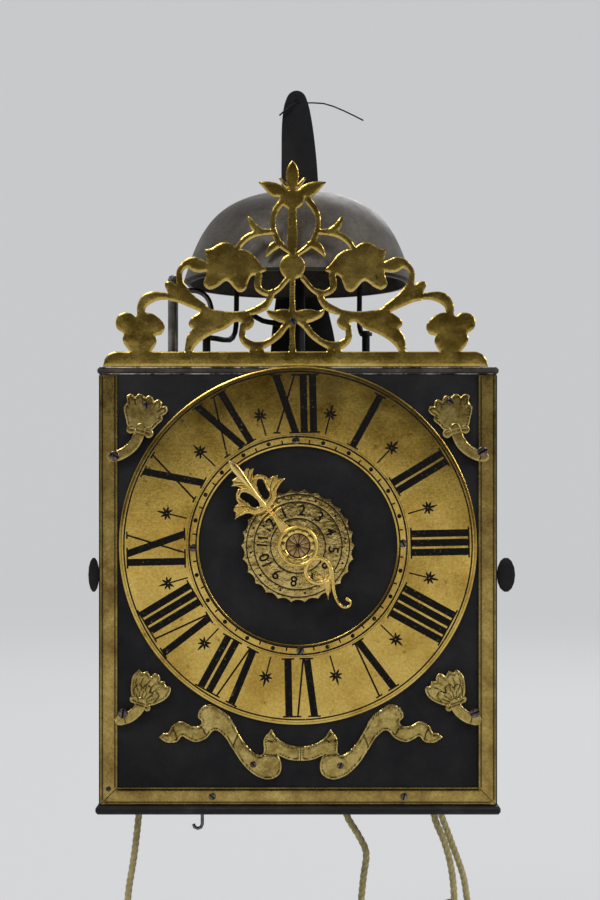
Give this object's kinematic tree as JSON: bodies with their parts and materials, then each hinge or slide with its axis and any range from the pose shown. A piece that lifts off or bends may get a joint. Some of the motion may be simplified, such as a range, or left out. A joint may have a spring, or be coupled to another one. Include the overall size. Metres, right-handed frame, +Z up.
{
  "type": "comtoise clock movement",
  "caption": "Iron-caged wall clock movement with ring dial, single hour hand, alarm disc, cast brass crest and ornaments, bell on top, two hammers and hanging ropes",
  "frame": {"origin": "middle of the bottom plate's underside, on the face that rests on the bracket", "axes": "+Z up, the dial faces -Y, +X to the right as seen from the front"},
  "size_m": [0.2575, 0.1637, 0.644],
  "materials": {
    "top_plate": "black oxide, worn",
    "bottom_plate": "black oxide, worn",
    "post_front_left": "black oxide, worn",
    "post_front_right": "black oxide, worn",
    "post_rear_left": "black oxide, worn",
    "post_rear_right": "black oxide, worn",
    "front_plate": "black oxide, worn",
    "back_plate": "black oxide, worn",
    "hanging_strap": "black oxide, worn",
    "hanging_wire": "black oxide, worn",
    "dial_ring": "aged, unpolished",
    "border_left": "aged, unpolished",
    "border_right": "aged, unpolished",
    "border_bottom": "aged, unpolished",
    "shell_top_left": "aged, unpolished",
    "shell_top_right": "aged, unpolished",
    "flower_bottom_left": "aged, unpolished",
    "flower_bottom_right": "aged, unpolished",
    "ribbon_left": "aged, unpolished",
    "ribbon_right": "aged, unpolished",
    "crest": "aged, unpolished",
    "bell": "dark bell metal, dull",
    "bell_stand": "black oxide, worn",
    "bell_nut": "worn, a little rust",
    "hammer_stop": "worn, a little rust",
    "going_front_bar": "black oxide, worn",
    "going_rear_bar": "black oxide, worn",
    "strike_front_bar": "black oxide, worn",
    "strike_rear_bar": "black oxide, worn",
    "centre_bar": "black oxide, worn",
    "strike_rope": "twisted fibre",
    "strike_rope_hank": "twisted fibre",
    "going_rope_load_side": "twisted fibre",
    "going_rope_hank": "twisted fibre",
    "going_rope_slack_side": "twisted fibre",
    "alarm_rope": "twisted fibre",
    "alarm_rope_hank": "twisted fibre",
    "left_door": "black oxide, worn",
    "left_thumb_plate": "black oxide, worn",
    "right_door": "black oxide, worn",
    "right_thumb_plate": "black oxide, worn",
    "going_great_wheel": "aged, unpolished",
    "going_pulley": "aged, unpolished",
    "second_wheel": "aged, unpolished",
    "contrate_wheel": "aged, unpolished",
    "crown_wheel": "aged, unpolished",
    "hour_wheel": "aged, unpolished",
    "hour_hand": "cast, polished by use",
    "alarm_disc": "aged, unpolished",
    "pendulum": "worn, a little rust",
    "pendulum_bob": "lead grey",
    "strike_great_wheel": "aged, unpolished",
    "strike_pulley": "aged, unpolished",
    "pin_wheel": "aged, unpolished",
    "fly": "worn, a little rust",
    "strike_hammer": "black oxide, worn",
    "alarm_hammer": "black oxide, worn",
    "alarm_wheel": "aged, unpolished",
    "strike_rack": "worn, a little rust",
    "strike_pull": "black oxide, worn"
  },
  "bodies": {
    "cage": {"top_plate": "top_plate", "bottom_plate": "bottom_plate", "post_front_left": "post_front_left", "post_front_right": "post_front_right", "post_rear_left": "post_rear_left", "post_rear_right": "post_rear_right", "front_plate": "front_plate", "back_plate": "back_plate", "hanging_strap": "hanging_strap", "hanging_wire": "hanging_wire", "dial_ring": "dial_ring", "border_left": "border_left", "border_right": "border_right", "border_bottom": "border_bottom", "shell_top_left": "shell_top_left", "shell_top_right": "shell_top_right", "flower_bottom_left": "flower_bottom_left", "flower_bottom_right": "flower_bottom_right", "ribbon_left": "ribbon_left", "ribbon_right": "ribbon_right", "crest": "crest", "bell": "bell", "bell_stand": "bell_stand", "bell_nut": "bell_nut", "hammer_stop": "hammer_stop", "going_front_bar": "going_front_bar", "going_rear_bar": "going_rear_bar", "strike_front_bar": "strike_front_bar", "strike_rear_bar": "strike_rear_bar", "centre_bar": "centre_bar", "strike_rope": "strike_rope", "strike_rope_hank": "strike_rope_hank", "going_rope_load_side": "going_rope_load_side", "going_rope_hank": "going_rope_hank", "going_rope_slack_side": "going_rope_slack_side", "alarm_rope": "alarm_rope", "alarm_rope_hank": "alarm_rope_hank"},
    "left_door": {"left_door": "left_door", "left_thumb_plate": "left_thumb_plate"},
    "right_door": {"right_door": "right_door", "right_thumb_plate": "right_thumb_plate"},
    "going_great_wheel": {"going_great_wheel": "going_great_wheel"},
    "going_pulley": {"going_pulley": "going_pulley"},
    "second_wheel": {"second_wheel": "second_wheel"},
    "contrate_wheel": {"contrate_wheel": "contrate_wheel"},
    "crown_wheel": {"crown_wheel": "crown_wheel"},
    "hour_hand": {"hour_wheel": "hour_wheel", "hour_hand": "hour_hand"},
    "alarm_disc": {"alarm_disc": "alarm_disc"},
    "pendulum": {"pendulum": "pendulum", "pendulum_bob": "pendulum_bob"},
    "strike_great_wheel": {"strike_great_wheel": "strike_great_wheel"},
    "strike_pulley": {"strike_pulley": "strike_pulley"},
    "pin_wheel": {"pin_wheel": "pin_wheel"},
    "fly": {"fly": "fly"},
    "strike_hammer": {"strike_hammer": "strike_hammer"},
    "alarm_hammer": {"alarm_hammer": "alarm_hammer"},
    "alarm_wheel": {"alarm_wheel": "alarm_wheel"},
    "strike_rack": {"strike_rack": "strike_rack"},
    "strike_pull": {"strike_pull": "strike_pull"}
  },
  "joints": [
    {"name": "left_door_hinge", "type": "hinge", "parent": "cage", "child": "left_door", "pos_m": [-0.1178, 0.069, 0.134], "axis": [0, 0, 1], "range_deg": [-110, 0]},
    {"name": "right_door_hinge", "type": "hinge", "parent": "cage", "child": "right_door", "pos_m": [0.1178, 0.069, 0.134], "axis": [0, 0, 1], "range_deg": [0, 110]},
    {"name": "contrate_wheel_turn", "type": "hinge", "parent": "cage", "child": "contrate_wheel", "pos_m": [0.057, 0, 0.1729], "axis": [0, 1, 0], "continuous": true},
    {"name": "second_wheel_turn", "type": "hinge", "parent": "cage", "child": "second_wheel", "pos_m": [0.057, 0, 0.1405], "axis": [0, 1, 0], "continuous": true},
    {"name": "going_great_wheel_turn", "type": "hinge", "parent": "cage", "child": "going_great_wheel", "pos_m": [0.057, 0, 0.1], "axis": [0, 1, 0], "continuous": true},
    {"name": "going_pulley_turn", "type": "hinge", "parent": "going_great_wheel", "child": "going_pulley", "pos_m": [0.057, -0.008, 0.1], "axis": [0, 1, 0], "continuous": true},
    {"name": "crown_wheel_turn", "type": "hinge", "parent": "cage", "child": "crown_wheel", "pos_m": [0.057, 0.01591, 0.195], "axis": [0, 0, 1], "continuous": true},
    {"name": "hour_hand_turn", "type": "hinge", "parent": "cage", "child": "hour_hand", "pos_m": [0, 0, 0.1608], "axis": [0, 1, 0], "continuous": true},
    {"name": "alarm_disc_set", "type": "hinge", "parent": "hour_hand", "child": "alarm_disc", "pos_m": [0, -0.0772, 0.1608], "axis": [0, 1, 0], "continuous": true},
    {"name": "pendulum_swing", "type": "hinge", "parent": "cage", "child": "pendulum", "pos_m": [0.057, 0, 0.2297], "axis": [0, 1, 0], "range_deg": [-8, 8]},
    {"name": "strike_great_wheel_turn", "type": "hinge", "parent": "cage", "child": "strike_great_wheel", "pos_m": [-0.0731, 0, 0.072], "axis": [0, 1, 0], "continuous": true},
    {"name": "strike_pulley_turn", "type": "hinge", "parent": "strike_great_wheel", "child": "strike_pulley", "pos_m": [-0.0731, -0.008, 0.072], "axis": [0, 1, 0], "continuous": true},
    {"name": "pin_wheel_turn", "type": "hinge", "parent": "cage", "child": "pin_wheel", "pos_m": [-0.0731, 0, 0.1125], "axis": [0, 1, 0], "continuous": true},
    {"name": "fly_turn", "type": "hinge", "parent": "cage", "child": "fly", "pos_m": [-0.0731, 0, 0.1449], "axis": [0, 1, 0], "continuous": true},
    {"name": "strike_hammer_swing", "type": "hinge", "parent": "cage", "child": "strike_hammer", "pos_m": [-0.059, 0, 0.21], "axis": [0, 0, 1], "range_deg": [-20, 2]},
    {"name": "alarm_hammer_swing", "type": "hinge", "parent": "cage", "child": "alarm_hammer", "pos_m": [0.045, 0.03, 0.27], "axis": [0, 0, 1], "range_deg": [-10, 2]},
    {"name": "alarm_wheel_turn", "type": "hinge", "parent": "cage", "child": "alarm_wheel", "pos_m": [0.0815, 0.03, 0.198], "axis": [0, 1, 0], "continuous": true},
    {"name": "strike_rack_drop", "type": "slide", "parent": "cage", "child": "strike_rack", "axis": [0, 0, 1], "range_m": [-0.018, 0]},
    {"name": "strike_pull_travel", "type": "slide", "parent": "cage", "child": "strike_pull", "axis": [0, 0, 1], "range_m": [-0.009, 0], "stiffness_N_per_m": 60, "springref_m": 0.002}
  ],
  "couplings": [
    {"joint": "second_wheel_turn", "follows": "contrate_wheel_turn", "ratio": -0.125},
    {"joint": "going_great_wheel_turn", "follows": "contrate_wheel_turn", "ratio": 0.015625},
    {"joint": "crown_wheel_turn", "follows": "contrate_wheel_turn", "ratio": 8},
    {"joint": "hour_hand_turn", "follows": "contrate_wheel_turn", "ratio": -0.0039062},
    {"joint": "strike_great_wheel_turn", "follows": "pin_wheel_turn", "ratio": -0.125},
    {"joint": "fly_turn", "follows": "pin_wheel_turn", "ratio": -8}
  ]
}
